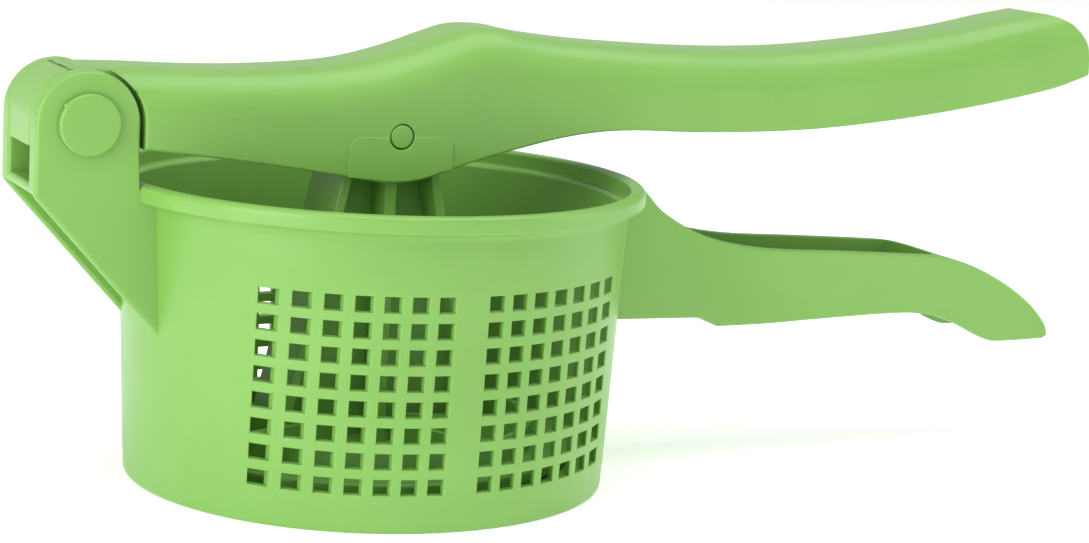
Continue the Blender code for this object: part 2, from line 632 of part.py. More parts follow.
def build_hinge_pin(work, where):
    face = -BRACKET_WIDTH / 2 - FIT_GAP
    end = BRACKET_WIDTH / 2 - FIT_GAP
    edge = 0.5 * MM
    head = [(0.0, face - PIN_HEAD_HEIGHT), (PIN_HEAD_RADIUS - edge, face - PIN_HEAD_HEIGHT),
            (PIN_HEAD_RADIUS, face - PIN_HEAD_HEIGHT + edge), (PIN_HEAD_RADIUS, face)]
    shank = [(HINGE_PIN_RADIUS, face), (HINGE_PIN_RADIUS, end)]
    hollow = [(HINGE_PIN_BORE, end), (HINGE_PIN_BORE, end - HINGE_PIN_BORE_DEPTH),
              (0.0, end - HINGE_PIN_BORE_DEPTH)]
    pin = pin_along_y("pin", (head + shank + hollow)[::-1], HINGE, work)
    finish(pin, "hinge_pin", GREEN, 0.34, where)
    return pin


def build_hinge_pin_cap(work, where):
    face = BRACKET_WIDTH / 2 + FIT_GAP
    edge = 0.5 * MM
    spigot = HINGE_PIN_BORE - FIT_GAP
    tip = face - CAP_SPIGOT_LENGTH
    profile = [(0.0, tip), (spigot - edge, tip), (spigot, tip + edge), (spigot, face),
               (PIN_HEAD_RADIUS, face), (PIN_HEAD_RADIUS, face + PIN_HEAD_HEIGHT - edge),
               (PIN_HEAD_RADIUS - edge, face + PIN_HEAD_HEIGHT), (0.0, face + PIN_HEAD_HEIGHT)]
    cap = pin_along_y("cap", profile[::-1], HINGE, work)
    finish(cap, "hinge_pin_cap", GREEN, 0.34, where)
    return cap


def build_plunger_pin(work, where):
    end = LEVER_WIDTH / 2 + PAD_PROUD - PLUNGER_PIN_RECESS
    edge = 0.4 * MM
    radius = PLUNGER_PIN_RADIUS
    profile = [(0.0, -end), (radius - edge, -end), (radius, -end + edge), (radius, end - edge),
               (radius - edge, end), (0.0, end)]
    pin = pin_along_y("rod", profile[::-1], PLUNGER_PIN, work, 24)
    finish(pin, "plunger_pin", GREEN, 0.34, where)
    return pin


# ---- assembly -----------------------------------------------------------------------------------
def main():
    for old in list(bpy.data.objects):
        bpy.data.objects.remove(old)
    parts = collection("potato_ricer")
    work = collection("workshop")
    build_pot(work, parts)
    lever = build_lever(work, parts)
    plunger = build_plunger(work, parts)
    hinge_pin = build_hinge_pin(work, parts)
    cap = build_hinge_pin_cap(work, parts)
    plunger_pin = build_plunger_pin(work, parts)
    for piece in (lever, hinge_pin, cap):
        set_origin(piece, HINGE)
    for piece in (plunger, plunger_pin):
        set_origin(piece, PLUNGER_PIN)
    for piece in parts.objects:
        piece.location.x -= MIDDLE


main()
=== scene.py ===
"""Potato ricer in apple green polypropylene, standing on a pale studio floor.

A perforated cup carries a hinge bracket on one side and a trough-shaped handle on the other. A
crowned lever turns on the hinge pin and pushes a ribbed plunger down into the cup. Outlines are in
millimetres: x from the cup's axis, y across, z from the table. Finished meshes are in metres, in
the frame's own place.
"""

import json
import logging
import math
from dataclasses import dataclass
from enum import Enum
from typing import Any, Callable, Sequence

import bmesh
import bpy
from mathutils import Matrix, Vector


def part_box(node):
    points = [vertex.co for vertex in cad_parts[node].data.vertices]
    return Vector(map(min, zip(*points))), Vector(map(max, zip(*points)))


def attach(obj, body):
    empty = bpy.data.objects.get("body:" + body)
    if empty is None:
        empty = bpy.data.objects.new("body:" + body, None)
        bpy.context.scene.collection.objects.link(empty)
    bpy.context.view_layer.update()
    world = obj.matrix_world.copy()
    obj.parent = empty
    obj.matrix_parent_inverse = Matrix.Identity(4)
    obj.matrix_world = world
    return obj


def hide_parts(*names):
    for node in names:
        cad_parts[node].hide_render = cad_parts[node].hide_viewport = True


MM = 0.001
Point = tuple[float, float]
Chooser = Callable[["EdgeFacts"], bool]
WELD = 0.002 * MM  # Vertices nearer than this are one.
HAIR = 0.1  # Slack for finding an edge by its place, in millimetres.
CLEAR = 40.0  # Cutters reach this far to each side, in millimetres.
GROUND = 20.0  # Cutters under the lever start at this height, in millimetres.

logging.basicConfig(level=logging.INFO, format="%(message)s")
LOG = logging.getLogger("potato_ricer")

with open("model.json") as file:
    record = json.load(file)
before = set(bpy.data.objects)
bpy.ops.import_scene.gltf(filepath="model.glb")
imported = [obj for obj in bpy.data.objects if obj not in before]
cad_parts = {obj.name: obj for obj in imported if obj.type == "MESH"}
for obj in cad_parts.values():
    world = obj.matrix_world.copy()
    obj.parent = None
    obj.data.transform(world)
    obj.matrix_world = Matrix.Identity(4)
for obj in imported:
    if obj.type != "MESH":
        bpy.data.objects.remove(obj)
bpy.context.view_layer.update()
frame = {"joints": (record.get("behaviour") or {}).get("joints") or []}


# Places and curves.
@dataclass(frozen=True)
class Places:
    """The points that the pieces share, in millimetres from the cup's axis and the table."""

    axis_x: float
    hinge: Point
    plunger_pin: Point
    rim: float = 73.3

    @classmethod
    def from_frame(cls) -> "Places":
        """Read the cup's axis and the two joints from the frame.

        Returns:
            The shared places.
        """
        low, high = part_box("plunger")
        axis_x = (low.x + high.x) / 2 / MM
        pins = {joint["name"]: joint["pos_m"] for joint in frame["joints"]}
        hinge = pins["lever_hinge"]
        swing = pins["plunger_swing"]
        return cls(axis_x=axis_x,
                   hinge=(hinge[0] / MM - axis_x, hinge[2] / MM),
                   plunger_pin=(swing[0] / MM - axis_x, swing[2] / MM))

    def at(self, x: float, y: float, z: float) -> Vector:
        """A point in the frame, in metres, from one in millimetres about the cup's axis."""
        return Vector((x + self.axis_x, y, z)) * MM


def arc(centre: Point, radius: float, start: float, stop: float, steps: int) -> list[Point]:
    """Points on an arc, its angles in degrees."""
    angles = [math.radians(start + (stop - start) * i / steps) for i in range(steps + 1)]
    return [(centre[0] + radius * math.cos(a), centre[1] + radius * math.sin(a)) for a in angles]


def smooth(points: Sequence[Point], steps: int = 4) -> list[Point]:
    """A flowing curve through the points.

    Args:
        points: Places on the curve, in order.
        steps: Pieces in each span.

    Returns:
        The curve's points, the last one included.
    """
    ends = [points[0], *points, points[-1]]
    path: list[Point] = []
    for i in range(1, len(ends) - 2):
        p0, p1, p2, p3 = (Vector(p) for p in ends[i - 1:i + 3])
        for j in range(steps):
            t = j / steps
            place = 0.5 * (2 * p1 + (p2 - p0) * t + (2 * p0 - 5 * p1 + 4 * p2 - p3) * t ** 2
                           + (3 * p1 - p0 - 3 * p2 + p3) * t ** 3)
            path.append((place.x, place.y))
    return path + [tuple(points[-1])]


def inward(path: Sequence[Point], distance: float) -> list[Point]:
    """The open path moved sideways by a distance, to the right of its direction."""
    runs = [(Vector(b) - Vector(a)).normalized() for a, b in zip(path, path[1:])]
    moved: list[Point] = []
    for i, place in enumerate(path):
        before = runs[max(i - 1, 0)]
        after = runs[min(i, len(runs) - 1)]
        across = Vector((before.y + after.y, -before.x - after.x))
        reach = 2 * distance / across.length_squared
        moved.append((place[0] + across.x * reach, place[1] + across.y * reach))
    return moved


# The bench.
class Join(Enum):
    """How one solid is put together with another."""

    ADD = "UNION"
    CUT = "DIFFERENCE"


@dataclass(frozen=True)
class EdgeFacts:
    """What an edge chooser can see, its places in millimetres about the cup's axis."""

    a: Vector
    b: Vector
    angle: float
    convex: bool

    @property
    def middle(self) -> Vector:
        """The edge's middle."""
        return (self.a + self.b) / 2

    @property
    def run(self) -> Vector:
        """The edge's direction, of length one."""
        return (self.b - self.a).normalized()


def pick_only(body: bpy.types.Object) -> None:
    """Select one object and nothing else, and make it the active one."""
    bpy.ops.object.select_all(action="DESELECT")
    bpy.context.view_layer.objects.active = body
    body.select_set(True)


class Workpiece:
    """One mesh, shaped with edit-mode operators as by hand."""

    def __init__(self, name: str, places: Places) -> None:
        """Start from a plane that is merged to a single point.

        Args:
            name: The piece's name.
            places: The shared places, which give the cup's axis.
        """
        self.places = places
        bpy.ops.object.select_all(action="DESELECT")
        bpy.ops.mesh.primitive_plane_add(size=MM, location=(0.0, 0.0, 0.0))
        self.body = bpy.context.active_object
        self.body.name = name
        self.body.data.name = name
        with self.editing():
            bpy.ops.mesh.select_all(action="SELECT")
            bpy.ops.mesh.merge(type="CENTER")

    def editing(self) -> "EditMode":
        """Edit mode on this piece, for a with statement."""
        return EditMode(self.body)

    @classmethod
    def plate(cls, name: str, places: Places, outline: Sequence[Point], low: float,
              high: float) -> "Workpiece":
        """An outline in the side view, drawn point by point, filled and pulled out across.

        Args:
            name: The piece's name.
            places: The shared places.
            outline: The outline's points (x, z).
            low: The plate's near face, y.
            high: The plate's far face, y.

        Returns:
            The closed plate.
        """
        piece = cls(name, places)
        with piece.editing():
            piece.draw([places.at(x, low, z) for x, z in outline], closed=True)
            bpy.ops.mesh.select_all(action="SELECT")
            bpy.ops.mesh.edge_face_add()
            bpy.ops.mesh.extrude_region_move(
                TRANSFORM_OT_translate={"value": (0.0, (high - low) * MM, 0.0)})
            piece.face_outwards()
        return piece

    @classmethod
    def turned(cls, name: str, places: Places, profile: Sequence[Point],
               steps: int | Sequence[float], pin: Point | None = None) -> "Workpiece":
        """A profile spun into a closed round body.

        Args:
            name: The piece's name.
            places: The shared places.
            profile: (radius, distance along the axis), from the axis round and back to it.
            steps: Facets round the body, or the angles of its facet lines in degrees.
            pin: None to turn about the cup's upright axis, or the (x, z) of an axis across.

        Returns:
            The closed body.
        """
        piece = cls(name, places)
        if pin is None:
            line = [places.at(r, 0.0, z) for r, z in profile]
            centre = places.at(0.0, 0.0, 0.0)
            axis = (0.0, 0.0, 1.0)
        else:
            line = [places.at(pin[0] + r, y, pin[1]) for r, y in profile]
            centre = places.at(pin[0], 0.0, pin[1])
            axis = (0.0, 1.0, 0.0)
        with piece.editing():
            piece.draw(line, closed=False)
            bpy.ops.mesh.select_all(action="SELECT")
            if isinstance(steps, int):
                bpy.ops.mesh.spin(steps=steps, angle=math.tau, center=centre, axis=axis)
            else:
                for here, there in zip(steps, steps[1:]):
                    bpy.ops.mesh.spin(steps=1, angle=math.radians(there - here), center=centre,
                                      axis=axis)
            piece.face_outwards()
        return piece

    @classmethod
    def block(cls, name: str, places: Places, centre: Vector, size: Vector) -> "Workpiece":
        """A box drawn as a plate, for cutting with."""
        x, y, z = centre
        half = size / 2
        outline = [(x - half.x, z - half.z), (x + half.x, z - half.z),
                   (x + half.x, z + half.z), (x - half.x, z + half.z)]
        return cls.plate(name, places, outline, y - half.y, y + half.y)

    def draw(self, line: Sequence[Vector], closed: bool) -> None:
        """Move the single starting point to the line's start and extrude it along the line.

        Args:
            line: The line's points, in metres.
            closed: Whether the last point is joined to the first.
        """
        bpy.ops.mesh.select_all(action="SELECT")
        bpy.ops.transform.translate(value=line[0])
        for here, there in zip(line, line[1:]):
            bpy.ops.mesh.extrude_vertices_move(TRANSFORM_OT_translate={"value": there - here})
        if closed:
            mesh = bmesh.from_edit_mesh(self.body.data)
            mesh.verts.ensure_lookup_table()
            mesh.verts[0].select_set(True)
            bmesh.update_edit_mesh(self.body.data)
            bpy.ops.mesh.edge_face_add()

    def face_outwards(self) -> None:
        """Merge what coincides and turn every face outwards, in edit mode."""
        bpy.ops.mesh.select_all(action="SELECT")
        bpy.ops.mesh.remove_doubles(threshold=WELD)
        bpy.ops.mesh.normals_make_consistent(inside=False)

    def apply(self, kind: str, **settings: Any) -> None:
        """Add a modifier, set it and apply it.

        Args:
            kind: The modifier's type.
            **settings: Values for the modifier's own properties.
        """
        step = self.body.modifiers.new(kind.title(), kind)
        for key, value in settings.items():
            setattr(step, key, value)
        pick_only(self.body)
        bpy.ops.object.modifier_apply(modifier=step.name)

    def combine(self, how: Join, *others: "Workpiece") -> "Workpiece":
        """Join other solids on or cut them away, in order, and use them up.

        Args:
            how: The way of combining.
            *others: The other solids.

        Returns:
            This piece.
        """
        for other in others:
            self.apply("BOOLEAN", operation=how.value, solver="MANIFOLD", object=other.body)
            bpy.data.objects.remove(other.body)
        return self

    def repeat(self, count: int, step: tuple[float, float, float]) -> "Workpiece":
        """Copy the piece in a row.

        Args:
            count: How many there are in the row.
            step: From one to the next, in millimetres.

        Returns:
            This piece.
        """
        self.apply("ARRAY", count=count, use_relative_offset=False, use_constant_offset=True,
                   constant_offset_displace=Vector(step) * MM)
        return self

    def turn(self, angle: float) -> "Workpiece":
        """Turn the piece about the cup's upright axis, by an angle in radians."""
        with self.editing():
            bpy.ops.mesh.select_all(action="SELECT")
            bpy.ops.transform.rotate(value=-angle, orient_axis="Z",
                                     center_override=self.places.at(0.0, 0.0, 0.0))
        return self

    def round_edges(self, choose: Chooser, radius: float, segments: int) -> "Workpiece":
        """Bevel the edges that a chooser picks.

        Args:
            choose: Says yes or no to an edge.
            radius: The rounding, in millimetres.
            segments: Facets across the rounding.

        Returns:
            This piece.
        """
        offset = Vector((self.places.axis_x, 0.0, 0.0))
        with self.editing():
            bpy.ops.mesh.select_mode(type="EDGE")
            bpy.ops.mesh.select_all(action="DESELECT")
            mesh = bmesh.from_edit_mesh(self.body.data)
            for edge in mesh.edges:
                a, b = (vertex.co / MM - offset for vertex in edge.verts)
                facts = EdgeFacts(a, b, math.degrees(edge.calc_face_angle(0.0)), edge.is_convex)
                if choose(facts):
                    edge.select_set(True)
            bmesh.update_edit_mesh(self.body.data)
            bpy.ops.mesh.bevel(offset=radius * MM, segments=segments, profile=0.5,
                               affect="EDGES", clamp_overlap=False, loop_slide=False)
            bpy.ops.mesh.select_mode(type="VERT")
            self.face_outwards()
        return self

    def split_faces(self) -> "Workpiece":
        """Split every face of more than four sides into triangles."""
        with self.editing():
            bpy.ops.mesh.select_mode(type="FACE")
            bpy.ops.mesh.select_all(action="DESELECT")
            bpy.ops.mesh.select_face_by_sides(number=4, type="GREATER")
            bpy.ops.mesh.quads_convert_to_tris(quad_method="BEAUTY", ngon_method="BEAUTY")
            bpy.ops.mesh.select_mode(type="VERT")
        return self

    def settle_shading(self, angle: float = 35.0) -> "Workpiece":
        """Shade round faces smooth and keep flat faces flat beside their rounded edges."""
        self.split_faces()
        bpy.ops.object.shade_smooth_by_angle(angle=math.radians(angle))
        self.apply("WEIGHTED_NORMAL", mode="FACE_AREA", weight=60, keep_sharp=True)
        return self


class EditMode:
    """Edit mode on one object, left again at the end of a with statement."""

    def __init__(self, body: bpy.types.Object) -> None:
        """Remember the object."""
        self.body = body

    def __enter__(self) -> None:
        """Make the object the only selected one and enter edit mode."""
        pick_only(self.body)
        bpy.ops.object.mode_set(mode="EDIT")

    def __exit__(self, *_: object) -> None:
        """Go back to object mode."""
        bpy.ops.object.mode_set(mode="OBJECT")


# Shader maths.
class Wire:
    """A socket that takes part in sums: an expression on wires adds Math nodes."""

    def __init__(self, kit: "ShaderKit", socket: bpy.types.NodeSocket) -> None:
        """Wrap an output socket.

        Args:
            socket: The output socket.
        """
        self.kit = kit
        self.socket = socket

    def _sum(self, operation: str, a: Any, b: Any) -> "Wire":
        """A Math node on two values."""
        return self.kit.node("ShaderNodeMath", {"operation": operation}, {0: a, 1: b})

    def __add__(self, other: Any) -> "Wire":
        """self + other."""
        return self._sum("ADD", self, other)

    __radd__ = __add__

    def __sub__(self, other: Any) -> "Wire":
        """self - other."""
        return self._sum("SUBTRACT", self, other)

    def __rsub__(self, other: Any) -> "Wire":
        """other - self."""
        return self._sum("SUBTRACT", other, self)

    def __mul__(self, other: Any) -> "Wire":
        """self * other."""
        return self._sum("MULTIPLY", self, other)

    __rmul__ = __mul__

    def above(self, low: float, high: float) -> "Wire":
        """0 below low, 1 above high and a straight ramp between them."""
        return self.kit.node("ShaderNodeMapRange", {"clamp": True},
                             {"Value": self, "From Min": low, "From Max": high})


class ShaderKit:
    """A material's node tree and the one way of adding nodes to it."""

    def __init__(self, name: str) -> None:
        """Make a material with an empty Principled surface.

        Args:
            name: The material's name.
        """
        self.material = bpy.data.materials.new(name)
        self.material.use_nodes = True
        self.tree = self.material.node_tree
        self.surface = self.tree.nodes["Principled BSDF"]
        self.place = self.node("ShaderNodeTexCoord", {}, {}, "Object")

    def node(self, kind: str, settings: dict[str, Any], values: dict[Any, Any],
             output: str | int = 0) -> Wire:
        """Add a node.

        Args:
            kind: The node's type.
            settings: The node's own properties, set first.
            values: Values or wires for its input sockets, by name or number.
            output: The output socket to return.

        Returns:
            The chosen output.
        """
        made = self.tree.nodes.new(kind)
        for key, value in settings.items():
            setattr(made, key, value)
        for key, value in values.items():
            if isinstance(value, Wire):
                self.tree.links.new(value.socket, made.inputs[key])
            else:
                made.inputs[key].default_value = value
        return Wire(self, made.outputs[output])

    def noise(self, scale: float, detail: float = 2.0, stretch: Sequence[float] | None = None,
              turn: Sequence[float] = (0.0, 0.0, 0.0)) -> Wire:
        """Soft noise on the piece's own coordinates.

        Args:
            scale: Lumps in a metre.
            detail: How much finer noise is laid over the first.
            stretch: Scale along each axis, for streaks.
            turn: Turn of the streaks, in radians.

        Returns:
            The noise's value, about a half.
        """
        where = self.place
        if stretch:
            where = self.node("ShaderNodeMapping", {},
                              {"Vector": where, "Scale": tuple(stretch), "Rotation": tuple(turn)})
        return self.node("ShaderNodeTexNoise", {},
                         {"Vector": where, "Scale": scale, "Detail": detail})

    def mix(self, factor: Any, first: Any, second: Any) -> Wire:
        """Two colours mixed."""
        return self.node("ShaderNodeMix", {"data_type": "RGBA"},
                         {"Factor": factor, 6: first, 7: second}, 2)

    def wire(self, **inputs: Any) -> None:
        """Set or link the surface's sockets, named with underscores for spaces."""
        for key, value in inputs.items():
            socket = self.surface.inputs[key.replace("_", " ")]
            if isinstance(value, Wire):
                self.tree.links.new(value.socket, socket)
            else:
                socket.default_value = value


@dataclass(frozen=True)
class MouldedPlastic:
    """Satin polypropylene with the fine skin, flow clouds and light rubs of a moulding."""

    name: str
    colour: tuple[float, float, float]
    deep: tuple[float, float, float]
    pale: tuple[float, float, float]
    roughness: float
    grain: float
    rubs: float

    def make(self) -> bpy.types.Material:
        """Build the finish.

        Returns:
            The material.
        """
        kit = ShaderKit(self.name)
        clouds = kit.noise(22.0, 3.0)
        flow = kit.noise(60.0, 4.0, stretch=(0.25, 1.0, 1.0), turn=(0.0, 0.25, 0.3))
        skin = kit.noise(2600.0, 2.0)
        ripple = kit.noise(120.0, 1.0)
        specks = kit.noise(900.0, 1.0).above(0.70, 0.78)
        rub = kit.noise(45.0, 4.0).above(0.52, 0.70)
        base = kit.mix(clouds.above(0.35, 0.65) * 0.5, (*self.colour, 1.0), (*self.deep, 1.0))
        base = kit.mix(flow.above(0.50, 0.75) * 0.35, base, (*self.pale, 1.0))
        base = kit.mix(specks * 0.10, base, (*self.deep, 1.0))
        rough = self.roughness + (clouds - 0.5) * 0.08 + (skin - 0.5) * 0.05 - rub * self.rubs
        height = skin * self.grain + ripple * 0.9
        bump = kit.node("ShaderNodeBump", {}, {"Height": height, "Strength": 0.35,
                                               "Distance": 0.012 * MM})
        kit.wire(Base_Color=base, Roughness=rough, Normal=bump, Metallic=0.0, IOR=1.49,
                 Subsurface_Weight=0.12, Subsurface_Radius=(0.5, 1.0, 0.25),
                 Subsurface_Scale=2.5 * MM)
        return kit.material


@dataclass(frozen=True)
class StudioFloor:
    """Matt pale paper with a faint glow of its own."""

    name: str
    colour: tuple[float, float, float]
    glow: float

    def make(self) -> bpy.types.Material:
        """Build the paper."""
        kit = ShaderKit(self.name)
        fibre = kit.noise(700.0, 3.0)
        tone = kit.mix(fibre * 0.06, (*self.colour, 1.0), (0.86, 0.87, 0.86, 1.0))
        kit.wire(Base_Color=tone, Roughness=0.9, Emission_Color=(1.0, 1.0, 1.0, 1.0),
                 Emission_Strength=self.glow)
        return kit.material


@dataclass(frozen=True)
class Dress:
    """What a finished piece rides on, stands for and is made of."""

    body: str
    node: str
    slot: str
    finish: bpy.types.Material

    def on(self, piece: Workpiece) -> None:
        """Dress a finished piece and hand it to the frame.

        Args:
            piece: The finished piece.
        """
        piece.body.data.materials.clear()
        piece.body.data.materials.append(self.finish)
        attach(piece.body, self.body)
        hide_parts(self.node)
        LOG.info("%s: %d faces, rides on %s", piece.body.name, len(piece.body.data.polygons),
                 self.body)


# The pot.
@dataclass
class Pot:
    """The cup with its holes, its hinge bracket and its handle, moulded in one."""

    places: Places
    base_radius: float = 58.3
    top_radius: float = 61.4
    wall: float = 2.2
    lip_radius: float = 65.0
    mouth_radius: float = 61.3
    foot_rise: float = 3.5
    foot_width: float = 3.6
    floor_top: float = 6.0
    floor_corner: float = 2.5
    hole: float = 3.6
    hole_round: float = 0.35
    pitch: float = 6.0
    columns: int = 7
    rows: int = 8
    first_row: float = 10.9
    middle_strip: float = 1.4
    panel_height: float = 32.0
    wall_depth: float = 4.0
    floor_pitch: float = 8.0
    floor_reach: float = 49.7
    ear_radius: float = 12.0
    ear_thickness: float = 6.0
    ear_round: float = 1.0
    bracket_half: float = 15.0
    shelf: float = 2.4
    gusset: float = 2.6
    pin_bore: float = 4.3
    handle_half: float = 13.5
    handle_wall: float = 2.5
    handle_floor: float = 2.5
    handle_round: float = 0.9
    trough_end: float = 157.0
    trough_corner: float = 8.0

    def radius_at(self, z: float) -> float:
        """The outer wall's radius at a height."""
        return self.base_radius + (self.top_radius - self.base_radius) * z / self.places.rim

    def row_edges(self) -> list[float]:
        """Heights of the lower and upper edges of every row of holes, upwards."""
        return [self.first_row + row * self.pitch + side * self.hole / 2
                for row in range(self.rows) for side in (-1, 1)]

    def inner_line(self) -> list[Point]:
        """The cup's inner profile, from the floor's middle up to the top of the rim."""
        rim = self.places.rim
        corner = self.floor_corner
        corner_x = self.radius_at(self.floor_top + corner) - self.wall - corner
        ledge_x = self.radius_at(rim - 4.8) - self.wall
        edge = 0.9
        nook = 0.35
        line = [(0.0, self.floor_top), (corner_x / 2, self.floor_top)]
        line += arc((corner_x, self.floor_top + corner), corner, -90, 0, 6)
        line += [(self.radius_at(z) - self.wall, z) for z in self.row_edges()]
        line += [(ledge_x, rim - 5.0)]
        line += arc((ledge_x + edge, rim - 4.9), edge, 180, 90, 3)
        line += arc((self.mouth_radius - nook, rim - 3.65), nook, -90, 0, 2)
        return line + arc((self.mouth_radius + edge, rim - edge), edge, 180, 90, 4)

    def outer_line(self) -> list[Point]:
        """The cup's outer profile, from the top of the rim down and under to the middle."""
        rim = self.places.rim
        edge = 1.3
        under = 0.7
        flare = 2.9
        corner = 0.9
        mark = 5.6
        crown = arc((self.lip_radius - edge, rim - edge), edge, 90, 0, 5)
        face_low = rim - 3.9
        wall = self.radius_at(face_low - 1.6)
        turn_in = arc((self.lip_radius - under, face_low + 0.5), under, 0, -75, 3)
        sweep = arc((wall + flare, face_low - flare), flare, 105, 180, 5)
        rows = [(self.radius_at(z), z) for z in reversed(self.row_edges())]
        foot = [(self.radius_at(mark), mark), (self.radius_at(mark) - 0.10, mark - 0.15)]
        foot += arc((self.base_radius - 0.95, corner), corner, 0, -90, 4)
        recess = self.base_radius - self.foot_width
        return crown + turn_in + sweep + rows + foot + [
            (recess, 0.0), (recess, self.foot_rise), (recess / 2, self.foot_rise),
            (0.0, self.foot_rise)]

    def facet_lines(self) -> list[float]:
        """Angles of the cup's upright facet lines, with one down each side of every hole."""
        radius = self.radius_at(self.panel_height)
        sides = [column * self.pitch + side * self.hole / 2
                 for column in range(1, self.columns + 1) for side in (-1, 1)]
        strip = self.middle_strip
        across = sorted([strip, *sides, -strip, *(-x for x in sides)], reverse=True)
        panel = [math.degrees(math.acos(x / radius)) for x in across]
        blank = 13
        flank = [panel[0] * i / blank for i in range(blank)]
        half = flank + panel + [180.0 - angle for angle in reversed(flank[1:])]
        return half + [180.0 + angle for angle in half] + [360.0]

    def square_holes(self, cup: Workpiece) -> None:
        """Slide the facet lines beside the holes upright, so each hole runs straight across."""
        radius = self.radius_at(self.panel_height)
        rows = self.row_edges()
        reach = self.columns * self.pitch + self.hole / 2 + 0.01
        mesh = bmesh.from_edit_mesh(cup.body.data)
        for vertex in mesh.verts:
            x, y, z = vertex.co / MM
            x -= self.places.axis_x
            out = math.hypot(x, y)
            above_floor = self.floor_top + 0.3 < z < rows[-1] + 0.01
            if not above_floor or out < self.base_radius - self.wall_depth:
                continue
            upright = radius * x / out
            if abs(upright) < reach:
                y = math.copysign(math.sqrt(out ** 2 - upright ** 2), y)
                vertex.co = self.places.at(upright, y, z)
        bmesh.update_edit_mesh(cup.body.data)

    def is_hole(self, centre: Vector) -> bool:
        """Whether a face's middle, in millimetres, lies in a hole of the wall."""
        x = abs(centre.x - self.places.axis_x)
        column = round(x / self.pitch)
        row = round((centre.z - self.first_row) / self.pitch)
        from_hole = max(abs(x - column * self.pitch),
                        abs(centre.z - self.first_row - row * self.pitch))
        near_wall = math.hypot(x, centre.y) > self.base_radius - self.wall_depth
        return (from_hole < self.hole / 2 and near_wall and 1 <= column <= self.columns
                and 0 <= row < self.rows)

    def wall_holes(self, cup: Workpiece) -> None:
        """Join the outer and the inner mouth of each hole with its own four sides."""
        mouths: dict[tuple[int, int, bool], list[int]] = {}
        mesh = bmesh.from_edit_mesh(cup.body.data)
        mesh.edges.index_update()
        for edge in mesh.edges:
            if edge.is_boundary:
                middle = (edge.verts[0].co + edge.verts[1].co) / 2 / MM
                hole = (round((middle.x - self.places.axis_x) / self.pitch),
                        round((middle.z - self.first_row) / self.pitch), middle.y > 0)
                mouths.setdefault(hole, []).append(edge.index)
        bpy.ops.mesh.select_mode(type="EDGE")
        for edges in mouths.values():
            bpy.ops.mesh.select_all(action="DESELECT")
            mesh = bmesh.from_edit_mesh(cup.body.data)
            mesh.edges.ensure_lookup_table()
            for i in edges:
                mesh.edges[i].select_set(True)
            bmesh.update_edit_mesh(cup.body.data)
            bpy.ops.mesh.bridge_edge_loops()

    def cup(self) -> Workpiece:
        """The turned cup with every hole opened and softened."""
        cup = Workpiece.turned("pot_shell", self.places, self.inner_line() + self.outer_line(),
                               self.facet_lines())
        with cup.editing():
            self.square_holes(cup)
            bpy.ops.mesh.select_mode(type="FACE")
            bpy.ops.mesh.select_all(action="DESELECT")
            mesh = bmesh.from_edit_mesh(cup.body.data)
            for face in mesh.faces:
                if self.is_hole(face.calc_center_median() / MM):
                    face.select_set(True)
            bmesh.update_edit_mesh(cup.body.data)
            bpy.ops.mesh.delete(type="FACE")
        with cup.editing():
            self.wall_holes(cup)
            bpy.ops.mesh.select_mode(type="VERT")
            cup.face_outwards()
        rows = self.row_edges()
        reach = self.columns * self.pitch + self.hole

        def hole_mouth(edge: EdgeFacts) -> bool:
            middle = edge.middle
            return (rows[0] - 1 < middle.z < rows[-1] + 1 and abs(edge.run.y) < 0.999
                    and edge.angle > 40 and abs(middle.x) < reach)

        cup.round_edges(hole_mouth, self.hole_round, 2)
        deep = 10.0
        size = Vector((self.hole, self.hole, deep))
        last = int(self.floor_reach / self.floor_pitch)
        for row in range(-last, last + 1):
            y = row * self.floor_pitch
            side = int(math.sqrt(self.floor_reach ** 2 - y ** 2) / self.floor_pitch)
            centre = Vector((-side * self.floor_pitch, y, deep / 2))
            pegs = Workpiece.block("floor_pegs", self.places, centre, size)
            cup.combine(Join.CUT, pegs.repeat(2 * side + 1, (self.floor_pitch, 0.0, 0.0)))
        return cup

    def space(self) -> Workpiece:
        """The space inside the cup and a skin of its wall, which no other part reaches into."""
        rim = self.places.rim
        skin = 0.8
        low = 20.0
        bend = rim - 6.0
        high = rim + 12.0
        line = [(0.0, low), (self.radius_at(low) - self.wall + skin, low),
                (self.radius_at(bend) - self.wall + skin, bend),
                (self.mouth_radius + skin, rim - 4.0), (self.mouth_radius + skin, high),
                (0.0, high)]
        return Workpiece.turned("cup_space", self.places, line, 96)

    def bracket(self) -> Workpiece:
        """Two round-topped ears on sloping gussets, with the shelf between them."""
        rim = self.places.rim
        hinge_x, hinge_z = self.places.hinge
        half = self.bracket_half
        left = hinge_x - self.ear_radius
        inside = -self.radius_at(39.0) + 3.0
        sunk = rim - 1.0
        foot = 37.0
        outline = [(hinge_x + self.ear_radius, sunk)]
        outline += arc((hinge_x, hinge_z), self.ear_radius, 0, 180, 36)
        outline += [(left, rim - self.shelf), (inside, foot), (inside, sunk)]
        bracket = Workpiece.plate("bracket", self.places, outline, -half, half)
        under = rim - self.shelf
        low = 25.0
        length = 44.0
        tall = 40.0
        relief = Vector((length, 2 * (half - self.gusset), under - low))
        slot = Vector((length, 2 * (half - self.ear_thickness), tall))
        middle = left - 1.0 + length / 2
        bracket.combine(
            Join.CUT,
            Workpiece.block("relief", self.places,
                            Vector((middle, 0.0, (under + low) / 2)), relief),
            Workpiece.block("slot", self.places, Vector((middle, 0.0, rim + tall / 2)), slot))

        def outer_edge(edge: EdgeFacts) -> bool:
            middle = edge.middle
            ends_inside = middle.x > -self.radius_at(middle.z) + 1.0
            return edge.convex and edge.angle > 30 and not ends_inside and middle.z > 30

